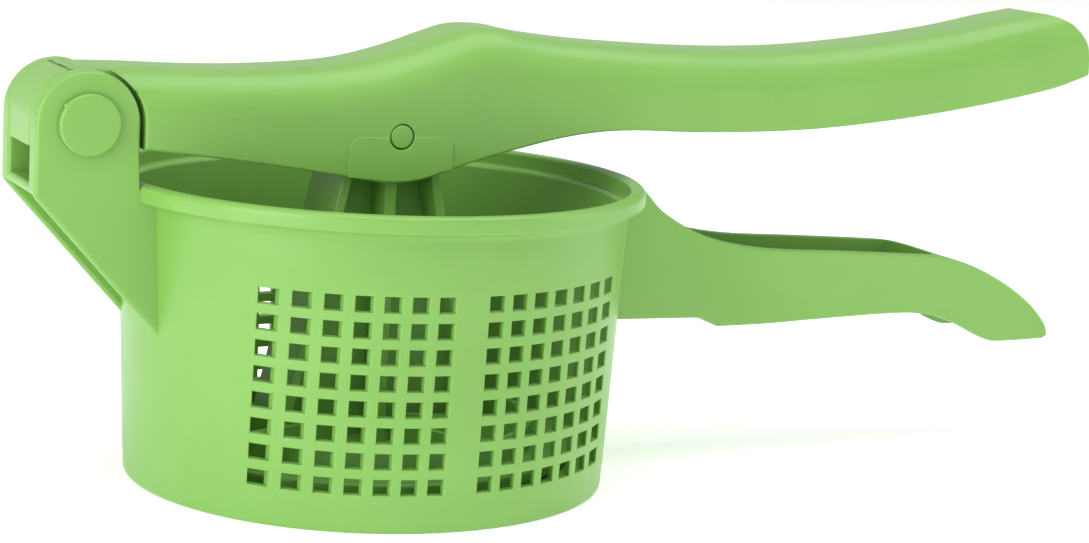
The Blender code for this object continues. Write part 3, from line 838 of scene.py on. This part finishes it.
        bracket.round_edges(outer_edge, self.ear_round, 3)
        bore = Workpiece.turned(
            "pin_bore", self.places,
            [(0.0, -half - 1), (self.pin_bore, -half - 1), (self.pin_bore, half + 1),
             (0.0, half + 1)], 48, self.places.hinge)
        return bracket.combine(Join.CUT, bore)

    def handle_line(self) -> list[Point]:
        """The handle's upper edge, from inside the rim over the nose to its tip."""
        return smooth([(58.0, 72.6), (64.0, 72.4), (67.5, 69.4), (72.0, 65.0), (80.0, 60.4),
                       (90.0, 57.0), (104.0, 54.8), (125.0, 53.7), (148.0, 52.4), (157.0, 51.4),
                       (166.0, 48.9), (176.5, 44.0), (185.0, 38.4), (190.5, 32.8), (191.8, 29.4)])

    def handle_under(self) -> list[Point]:
        """The handle's lower edge, from the tip back into the cup's wall."""
        run = smooth([(190.4, 28.5), (176.5, 28.2), (171.0, 29.2), (160.5, 34.0), (152.0, 36.3),
                      (142.0, 36.9), (119.0, 36.1), (104.0, 35.4), (89.6, 35.2)])
        return run + [(84.4, 37.6), (57.5, 38.0)]

    def handle(self) -> Workpiece:
        """The lower handle: an open trough that ends in a hollow, down-turned nose."""
        half = self.handle_half
        inner = half - self.handle_wall
        rim = self.places.rim
        start = self.lip_radius + 0.8
        end = self.trough_end
        handle = Workpiece.plate("handle", self.places, self.handle_line() + self.handle_under(),
                                 -half, half)
        floor = [(x, z + self.handle_floor) for x, z in self.handle_under()[::-1]]
        trough = [(start, floor[0][1])] + [p for p in floor if start < p[0] < end - 1]
        trough += [(end, trough[-1][1]), (end, rim), (start, rim)]
        nose = inward([p for p in self.handle_line() if p[0] > end - 4], self.handle_wall)
        nose = [p for p in nose if p[0] > end + self.handle_wall]
        nose += [(nose[-1][0], 24.0), (nose[0][0], 24.0)]
        channel = Workpiece.plate("trough", self.places, trough, -inner, inner)

        def end_corner(edge: EdgeFacts) -> bool:
            return abs(edge.run.z) > 0.9 and edge.middle.x > end - HAIR

        channel.round_edges(end_corner, self.trough_corner, 8)
        handle.combine(Join.CUT, channel,
                       Workpiece.plate("nose", self.places, nose, -inner, inner))

        def outer_edge(edge: EdgeFacts) -> bool:
            return (edge.convex and edge.angle > 50 and edge.middle.x > 62.5
                    and abs(edge.middle.y) > half - HAIR)

        def inner_edge(edge: EdgeFacts) -> bool:
            middle = edge.middle
            return (edge.convex and edge.angle > 50 and start + 8 < middle.x < end - 8
                    and abs(edge.run.x) > 0.9 and inner - HAIR < abs(middle.y) < inner + HAIR
                    and middle.z > 45)

        handle.round_edges(outer_edge, self.handle_round, 3)
        return handle.round_edges(inner_edge, 0.5, 2)

    def build(self, finish: bpy.types.Material) -> None:
        """Put the pot together and dress it.

        Args:
            finish: The pot's plastic.
        """
        cup = self.cup()
        bracket = self.bracket().combine(Join.CUT, self.space()).split_faces()
        handle = self.handle().combine(Join.CUT, self.space())
        cup.combine(Join.ADD, bracket, handle)
        cup.settle_shading()
        Dress("base", "pot", "pot_plastic", finish).on(cup)


# The lever.
@dataclass
class Lever:
    """The crowned hollow lever with its heel, plunger pads and inner ribs."""

    places: Places
    half: float = 15.0
    wall: float = 2.5
    crown: float = 9.8
    tail_x: float = 196.4
    tail_radius: float = 12.5
    tail_rise: float = 15.8
    shoulder_radius: float = 13.1
    heel_radius: float = 11.8
    heel_half: float = 8.7
    heel_drop: float = 5.6
    heel_rise: float = 12.17
    barrel: float = 6.3
    pin_bore: float = 4.3
    plunger_bore: float = 3.1
    pad_half: float = 13.2
    pad_proud: float = 0.35
    pad_corner: float = 3.0
    left: float = -110.0
    rim_round: float = 0.7
    ribs: int = 6
    first_rib: float = 46.0
    rib_pitch: float = 26.0
    rib_width: float = 1.8

    def height(self, rise: float) -> float:
        """The height of a point given by its rise above the hinge pin."""
        return self.places.hinge[1] + rise

    def top_line(self) -> list[Point]:
        """The crown from left of the hinge to the tail and straight on past it."""
        run = [(-100.0, 12.2), (-84.0, 12.2), (-66.0, 12.2), (-48.0, 11.7), (-31.0, 11.9),
               (-12.0, 13.3), (2.0, 16.6), (12.0, 20.0), (19.0, 22.0), (27.0, 22.1),
               (37.0, 20.4), (56.0, 18.6), (85.0, 17.4), (110.0, 17.8), (134.0, 20.0),
               (157.0, 23.3), (173.0, 26.6)]
        crown = smooth([(x, self.height(rise)) for x, rise in run])
        centre = (self.tail_x - self.tail_radius, self.height(self.tail_rise))
        turn = arc(centre, self.tail_radius, 101, 90, 1)[0]
        slope = (turn[1] - crown[-1][1]) / (turn[0] - crown[-1][0])
        return crown + [(crown[-1][0] + CLEAR, crown[-1][1] + CLEAR * slope)]

    def low_line(self) -> list[Point]:
        """The lever's lower edge, from beyond the tail back to the heel."""
        run = [(205.0, 15.9), (194.0, 11.9), (183.0, 8.6), (160.0, 4.2), (137.0, 0.9),
               (115.0, -1.3), (97.0, -2.1), (79.0, -2.2), (62.0, -1.7), (51.0, -2.2),
               (41.0, -3.7), (31.0, -6.0), (21.0, -8.6), (12.0, -11.4), (5.0, -13.5),
               (-3.0, -14.1), (-14.0, -12.4), (-36.0, -9.1), (-62.4, -5.9)]
        return smooth([(x, self.height(rise)) for x, rise in run])

    def bar(self, name: str, inset: float) -> Workpiece:
        """A crowned bar under the top line, deeper than the lever.

        Args:
            name: The piece's name.
            inset: How far its sides and top lie inside the lever's own.

        Returns:
            The bar.
        """
        path = inward(self.top_line(), inset)
        bottom = self.height(-CLEAR)
        half = self.half - inset
        outline = path + [(path[-1][0], bottom), (path[0][0], bottom)]
        bar = Workpiece.plate(name, self.places, outline, -half, half)

        def long_top_edge(edge: EdgeFacts) -> bool:
            return (edge.convex and abs(edge.run.y) < 0.1 and edge.angle > 45
                    and edge.middle.z > bottom + 1
                    and path[0][0] + HAIR < edge.middle.x < path[-1][0] - HAIR)

        bar.round_edges(long_top_edge, self.crown - inset, 9)
        return bar.combine(Join.CUT, self.past_tail(inset))

    def past_tail(self, inset: float) -> Workpiece:
        """Everything past the round end of the tail, or of the hollow inside it."""
        centre = (self.tail_x - self.tail_radius, self.height(self.tail_rise))
        end = arc(centre, self.tail_radius - inset, 97, 0, 14)
        sky = self.height(70.0)
        low = self.height(-60.0)
        right = centre[0] + 80.0
        outline = [(end[0][0], sky)] + end + [(end[-1][0], low), (right, low), (right, sky)]
        return Workpiece.plate("past_tail", self.places, outline, -CLEAR, CLEAR)

    def below(self) -> Workpiece:
        """Everything under the lever's lower edge."""
        low = self.low_line()
        right = 215.0
        outline = low + [(self.left, low[-1][1]), (self.left, GROUND), (right, GROUND),
                         (right, low[0][1])]
        return Workpiece.plate("below", self.places, outline[::-1], -CLEAR, CLEAR)

    def ear_rooms(self) -> list[Workpiece]:
        """The room that each ear turns in, with its hollow round edge."""
        x, z = self.places.hinge
        radius = self.shoulder_radius
        outline = [(self.left, GROUND), (x + radius, GROUND)]
        outline += arc((x, z), radius, 0, 90, 30) + [(x, z + CLEAR), (self.left, z + CLEAR)]
        return [Workpiece.plate("ear_room", self.places, outline, low, high)
                for low, high in ((-CLEAR, -self.heel_half), (self.heel_half, CLEAR))]

    def round_heel(self) -> list[Workpiece]:
        """What is taken off behind and under the heel, and out of its middle."""
        x, z = self.places.hinge
        radius = self.heel_radius
        lift = self.height(self.heel_rise) - z - radius
        outside = arc((x, z + lift), radius, 96, 180, 21)
        outside = [(outside[0][0], z + CLEAR)] + outside
        outside += [(x - radius, GROUND), (self.left, GROUND), (self.left, z + CLEAR)]
        shoulder = x + self.shoulder_radius + 0.01
        under = [(self.left, GROUND), (shoulder, GROUND), (shoulder, z - self.heel_drop),
                 (self.left, z - self.heel_drop)]
        inner = self.heel_half - self.wall
        low = z - 30.0
        right = x + 24.0
        hollow = arc((x, z), radius - self.wall, 90, 180, 12)
        hollow += [(x - radius + self.wall, low), (right, low),
                   (right, z + radius - self.wall)]
        return [Workpiece.plate("behind_heel", self.places, outside, -CLEAR, CLEAR),
                Workpiece.plate("under_heel", self.places, under, -CLEAR, CLEAR),
                Workpiece.plate("heel_hollow", self.places, hollow, -inner, inner)]

    def rod(self, name: str, pin: Point, radius: float, half: float, steps: int) -> Workpiece:
        """A plain rod across the lever."""
        return Workpiece.turned(name, self.places,
                                [(0.0, -half), (radius, -half), (radius, half), (0.0, half)],
                                steps, pin)

    def pads(self) -> list[Workpiece]:
        """The raised pads round the plunger pin, one on each side."""
        pin_z = self.places.plunger_pin[1]
        belly = [(x, z + 0.5) for x, z in self.low_line()[::-1] if abs(x) < self.pad_half]
        belly[0] = (-self.pad_half, belly[0][1])
        belly[-1] = (self.pad_half, belly[-1][1])
        corner = self.pad_corner
        outline = belly + arc((self.pad_half - corner, pin_z - corner), corner, 0, 90, 8)
        outline += arc((-self.pad_half + corner, pin_z - corner), corner, 90, 180, 8)
        half = self.half

        def outside(edge: EdgeFacts) -> bool:
            return abs(edge.middle.y) > half + 0.2 and edge.convex and edge.angle > 40

        pads = []
        for name, low, high in (("pad_near", -half - self.pad_proud, -half + 1),
                                ("pad_far", half - 1, half + self.pad_proud)):
            pad = Workpiece.plate(name, self.places, outline, low, high)
            pads.append(pad.round_edges(outside, 0.25, 2))
        return pads

    def build(self, finish: bpy.types.Material) -> None:
        """Put the lever together and dress it.

        Args:
            finish: The lever's plastic.
        """
        lever = self.bar("lever_body", 0.0)
        cavity = self.bar("channel", self.wall)
        hinge_x = self.places.hinge[0]
        room = Vector((60.0, 60.0, 160.0))
        centre = Vector((hinge_x + 18.0 - room.x / 2, 0.0, room.z / 2))
        cavity.combine(Join.CUT, Workpiece.block("ends", self.places, centre, room))
        for i in range(self.ribs):
            x = self.first_rib + self.rib_pitch * i
            skin = min(self.top_line(), key=lambda p: abs(p[0] - x))[1] - self.wall
            rib = Workpiece.block("rib", self.places, Vector((x, 0.0, skin + 12.0)),
                                  Vector((self.rib_width, CLEAR, CLEAR)))
            cavity.combine(Join.CUT, rib)
        lever.combine(Join.CUT, self.below(), *self.ear_rooms(), *self.round_heel(), cavity)

        def rim_edge(edge: EdgeFacts) -> bool:
            middle = edge.middle
            side = abs(middle.y) > 0.9 * self.half or middle.x > self.tail_x - 1.2
            lower = middle.z < self.height(16.0) or middle.x > self.tail_x - 5.0
            heel = middle.x < hinge_x + 3 and abs(middle.y) > self.heel_half - HAIR
            return edge.convex and edge.angle > 45 and lower and (side or heel)

        lever.round_edges(rim_edge, self.rim_round, 3)
        barrel = self.rod("barrel", self.places.hinge, self.barrel, self.heel_half - 1, 40)
        lever.combine(Join.ADD, barrel, *self.pads())
        lever.combine(
            Join.CUT,
            self.rod("bore", self.places.hinge, self.pin_bore, self.half, 40),
            self.rod("plunger_bore", self.places.plunger_pin, self.plunger_bore,
                     self.half + 3, 48))

        def pin_ring(edge: EdgeFacts) -> bool:
            from_pin = math.hypot(edge.middle.x - self.places.plunger_pin[0],
                                  edge.middle.z - self.places.plunger_pin[1])
            return (abs(from_pin - self.plunger_bore) < HAIR and edge.angle > 40
                    and abs(edge.middle.y) > self.half + HAIR)

        lever.round_edges(pin_ring, 0.5, 2)
        lever.settle_shading()
        Dress("lever_arm", "lever", "lever_plastic", finish).on(lever)


# The plunger.
@dataclass
class Plunger:
    """The pressing disc with its stiffening ribs and the ribbed stem up to its pin."""

    places: Places
    disc_radius: float = 50.0
    disc_low: float = 6.3
    disc_thickness: float = 3.0
    ring_radius: float = 40.0
    ring_height: float = 6.0
    spokes: int = 8
    stem_half: float = 10.0
    plate: float = 2.6
    stem_top: float = 9.0
    stem_foot: float = 24.5
    shoulder_drop: float = 6.5
    boss: float = 6.0
    boss_half: float = 12.2
    pin_bore: float = 3.1

    def disc(self) -> Workpiece:
        """The disc with its round edge and its ring."""
        low = self.disc_low
        top = low + self.disc_thickness
        ring = top + self.ring_height
        edge = 0.8
        brow = 0.5
        foot = 1.1
        profile = [(0.0, low)] + arc((self.disc_radius - edge, low + edge), edge, -90, 0, 4)
        profile += arc((self.disc_radius - edge, top - edge), edge, 0, 90, 4)
        profile += [(self.ring_radius + foot, top)]
        profile += arc((self.ring_radius + 0.3, ring - brow), brow, 0, 90, 3)
        profile += arc((self.ring_radius - 0.3, ring - brow), brow, 90, 180, 3)
        profile += [(self.ring_radius - foot, top), (0.0, top)]
        return Workpiece.turned("plunger_body", self.places, profile, 120)

    def stem(self) -> list[Workpiece]:
        """The web, the three cross ribs, the shelf under the lever and the boss."""
        pin_x, pin_z = self.places.plunger_pin
        sunk = self.disc_low + self.disc_thickness - 1.0
        top = pin_z - self.shoulder_drop
        thick = self.plate
        half = self.stem_half
        foot = self.stem_foot + thick / 2
        neck = self.stem_top + thick / 2
        web = [(-foot, sunk - 0.4), (foot, sunk - 0.4), (neck, top - 0.6),
               (self.boss - 0.5, pin_z), (-self.boss + 0.5, pin_z), (-neck, top - 0.6)]
        parts = [Workpiece.plate("web", self.places, web, -thick / 2, thick / 2)]

        def upright(edge: EdgeFacts) -> bool:
            return edge.convex and edge.angle > 40 and abs(edge.middle.y) > half - HAIR

        for side in (-1, 1):
            rib = [(side * self.stem_foot, sunk), (side * (self.stem_foot + thick), sunk),
                   (side * (self.stem_top + thick), top), (side * self.stem_top, top)]
            made = Workpiece.plate("rib", self.places, rib[::side], -half, half)
            parts.append(made.round_edges(upright, 0.5, 3))
        middle = Workpiece.block("middle_rib", self.places,
                                 Vector((0.0, 0.0, (pin_z + sunk) / 2)),
                                 Vector((thick + 0.4, 2 * half, pin_z - sunk)))
        parts.append(middle.round_edges(upright, 0.5, 3))
        parts.append(Workpiece.block("stem_shelf", self.places,
                                     Vector((0.0, 0.0, top - thick / 2 - 0.1)),
                                     Vector((2 * (self.stem_top + thick) - 0.2,
                                             2 * half - 0.2, thick))))
        boss = [(0.0, -self.boss_half), (self.boss - 0.5, -self.boss_half),
                (self.boss, -self.boss_half + 0.5), (self.boss, self.boss_half - 0.5),
                (self.boss - 0.5, self.boss_half), (0.0, self.boss_half)]
        parts.append(Workpiece.turned("boss", self.places, boss, 40, (pin_x, pin_z)))
        return parts

    def spoke(self, index: int) -> Workpiece:
        """One rib on the disc, from the stem out to the ring."""
        inner = self.stem_half - 1.0
        length = self.ring_radius - inner
        low = self.disc_low + self.disc_thickness
        size = Vector((length, 1.8, 0.8 * self.ring_height + 1.0))
        centre = Vector((inner + length / 2, 0.0, low + 0.4 * self.ring_height))
        spoke = Workpiece.block(f"spoke_{index}", self.places, centre, size)

        def top_edge(edge: EdgeFacts) -> bool:
            return edge.middle.z > centre.z + 1 and abs(edge.run.x) > 0.5

        spoke.round_edges(top_edge, 0.4, 2)
        return spoke.turn(math.tau * (index + 0.5) / self.spokes)

    def build(self, finish: bpy.types.Material) -> None:
        """Put the plunger together and dress it.

        Args:
            finish: The plunger's plastic.
        """
        plunger = self.disc()
        plunger.combine(Join.ADD, *self.stem())
        plunger.combine(Join.ADD, *(self.spoke(i) for i in range(self.spokes)))
        bore = [(0.0, -20.0), (self.pin_bore, -20.0), (self.pin_bore, 20.0), (0.0, 20.0)]
        plunger.combine(Join.CUT, Workpiece.turned("bore", self.places, bore, 40,
                                                   self.places.plunger_pin))
        plunger.settle_shading()
        Dress("press", "plunger", "plunger_plastic", finish).on(plunger)


# The pins.
@dataclass
class Pins:
    """The headed hinge pin, the cap on its far end and the plunger's plain pin."""

    places: Places
    bracket_half: float = 15.0
    gap: float = 0.3
    shank: float = 4.0
    hollow: float = 2.2
    hollow_depth: float = 14.0
    head: float = 7.1
    head_height: float = 1.4
    head_round: float = 0.7
    spigot_length: float = 11.0
    plunger_radius: float = 2.8
    plunger_half: float = 15.05

    def hinge_pin(self) -> Workpiece:
        """The hinge pin, with the nib where its head was broken off the mould's runner."""
        face = -self.bracket_half - self.gap
        out = face - self.head_height
        end = self.bracket_half - self.gap
        line = [(0.0, out)]
        line += arc((self.head - self.head_round, out + self.head_round), self.head_round,
                    -90, 0, 5)
        line += [(self.head, face), (self.shank, face), (self.shank, end - 0.3),
                 (self.shank - 0.3, end), (self.hollow, end),
                 (self.hollow, end - self.hollow_depth), (0.0, end - self.hollow_depth)]
        pin = Workpiece.turned("hinge_pin_body", self.places, line, 72, self.places.hinge)
        x, z = self.places.hinge
        angle = math.radians(142)
        at = (x + (self.head - 0.1) * math.cos(angle), z + (self.head - 0.1) * math.sin(angle))
        nib = [(0.0, out + 0.35), (0.3, out + 0.35), (0.55, out + 0.6), (0.55, face - 0.2),
               (0.0, face - 0.2)]
        return pin.combine(Join.ADD, Workpiece.turned("nib", self.places, nib, 16, at))

    def cap(self) -> Workpiece:
        """The cap pressed into the hinge pin's far end."""
        face = self.bracket_half + self.gap
        out = face + self.head_height
        spigot = self.hollow - self.gap
        tip = face - self.spigot_length
        line = [(0.0, tip), (spigot - 0.5, tip), (spigot, tip + 0.5), (spigot, face),
                (self.head, face)]
        line += arc((self.head - self.head_round, out - self.head_round), self.head_round,
                    0, 90, 5) + [(0.0, out)]
        return Workpiece.turned("hinge_pin_cap_body", self.places, line, 72, self.places.hinge)

    def plunger_pin(self) -> Workpiece:
        """The plunger's pin, flush in the lever's sides."""
        end = self.plunger_half
        radius = self.plunger_radius
        edge = 0.4
        line = [(0.0, -end)] + arc((radius - edge, -end + edge), edge, -90, 0, 4)
        line += arc((radius - edge, end - edge), edge, 0, 90, 4) + [(0.0, end)]
        return Workpiece.turned("plunger_pin_body", self.places, line, 48,
                                self.places.plunger_pin)

    def build(self, finish: bpy.types.Material) -> None:
        """Turn the three pins and dress them.

        Args:
            finish: The pins' plastic.
        """
        for pin, body, node in ((self.hinge_pin(), "base", "hinge_pin"),
                                (self.cap(), "base", "hinge_pin_cap"),
                                (self.plunger_pin(), "lever_arm", "plunger_pin")):
            pin.settle_shading()
            Dress(body, node, "pin_plastic", finish).on(pin)


# The studio.
@dataclass(frozen=True)
class SoftBox:
    """A flat lamp, its size in metres, turned towards a point."""

    name: str
    place: tuple[float, float, float]
    width: float
    height: float
    power: float

    def hang(self, target: Vector) -> None:
        """Hang the lamp.

        Args:
            target: What it shines on.
        """
        lamp = bpy.data.lights.new(self.name, "AREA")
        lamp.shape = "RECTANGLE"
        lamp.size = self.width
        lamp.size_y = self.height
        lamp.energy = self.power
        made = bpy.data.objects.new(self.name, lamp)
        bpy.context.scene.collection.objects.link(made)
        made.location = self.place
        made.rotation_euler = (target - made.location).to_track_quat("-Z", "Y").to_euler()


@dataclass
class Studio:
    """The floor, the lamps and the camera."""

    places: Places
    eye: tuple[float, float, float] = (-242.67, -592.78, 166.55)
    target: tuple[float, float, float] = (46.415, 0.0, 48.052)
    roll: float = 3.347
    lens: float = 88.74

    def floor(self) -> None:
        """A wide pale floor."""
        bpy.ops.object.select_all(action="DESELECT")
        bpy.ops.mesh.primitive_plane_add(size=12.0, location=(0.0, 0.0, 0.0))
        floor = bpy.context.active_object
        floor.name = "studio_floor"
        floor.data.materials.append(StudioFloor("pale_paper", (0.93, 0.935, 0.93), 0.36).make())

    def lamps(self) -> None:
        """Soft boxes from above and from both sides, in a white room."""
        target = Vector((0.0, 0.0, 0.06))
        for box in (SoftBox("over_box", (0.05, -0.10, 0.90), 1.2, 0.6, 4.8),
                    SoftBox("left_box", (-0.80, -0.35, 0.30), 0.5, 0.7, 4.8),
                    SoftBox("right_box", (0.85, -0.30, 0.30), 0.5, 0.7, 2.2)):
            box.hang(target)
        world = bpy.data.worlds.new("white_room")
        world.use_nodes = True
        sky = world.node_tree.nodes["Background"]
        sky.inputs["Color"].default_value = (1.0, 1.0, 1.0, 1.0)
        sky.inputs["Strength"].default_value = 0.64
        bpy.context.scene.world = world

    def camera(self) -> None:
        """The camera, in front and to the left, looking slightly down."""
        eye = self.places.at(*self.eye)
        ahead = (self.places.at(*self.target) - eye).normalized()
        right = ahead.cross(Vector((0.0, 0.0, 1.0))).normalized()
        up = right.cross(ahead)
        lean = math.radians(self.roll)
        across = math.cos(lean) * right + math.sin(lean) * up
        upward = -math.sin(lean) * right + math.cos(lean) * up
        view = Matrix((across, upward, -ahead)).transposed().to_4x4()
        lens = bpy.data.cameras.new("camera")
        lens.sensor_width = 36.0
        lens.lens = self.lens
        lens.clip_start = 0.01
        made = bpy.data.objects.new("camera", lens)
        made.matrix_world = Matrix.Translation(eye) @ view
        bpy.context.scene.collection.objects.link(made)
        bpy.context.scene.camera = made

    def build(self) -> None:
        """Set up the studio."""
        self.floor()
        self.lamps()
        self.camera()
        bpy.context.scene.view_settings.view_transform = "Standard"


def main() -> None:
    """Build every piece, light it and report it."""
    places = Places.from_frame()
    green = (0.192, 0.415, 0.078)
    deep = (0.168, 0.375, 0.066)
    pale = (0.212, 0.448, 0.095)
    Pot(places).build(MouldedPlastic("pot_green", green, deep, pale, 0.36, 0.6, 0.08).make())
    Lever(places).build(MouldedPlastic("lever_green", green, deep, pale, 0.33, 0.5, 0.10).make())
    Plunger(places).build(MouldedPlastic("plunger_green", green, deep, pale, 0.36, 0.6,
                                         0.06).make())
    Pins(places).build(MouldedPlastic("pin_green", green, deep, pale, 0.32, 0.4, 0.06).make())
    Studio(places).build()


if __name__ == "__main__":
    main()
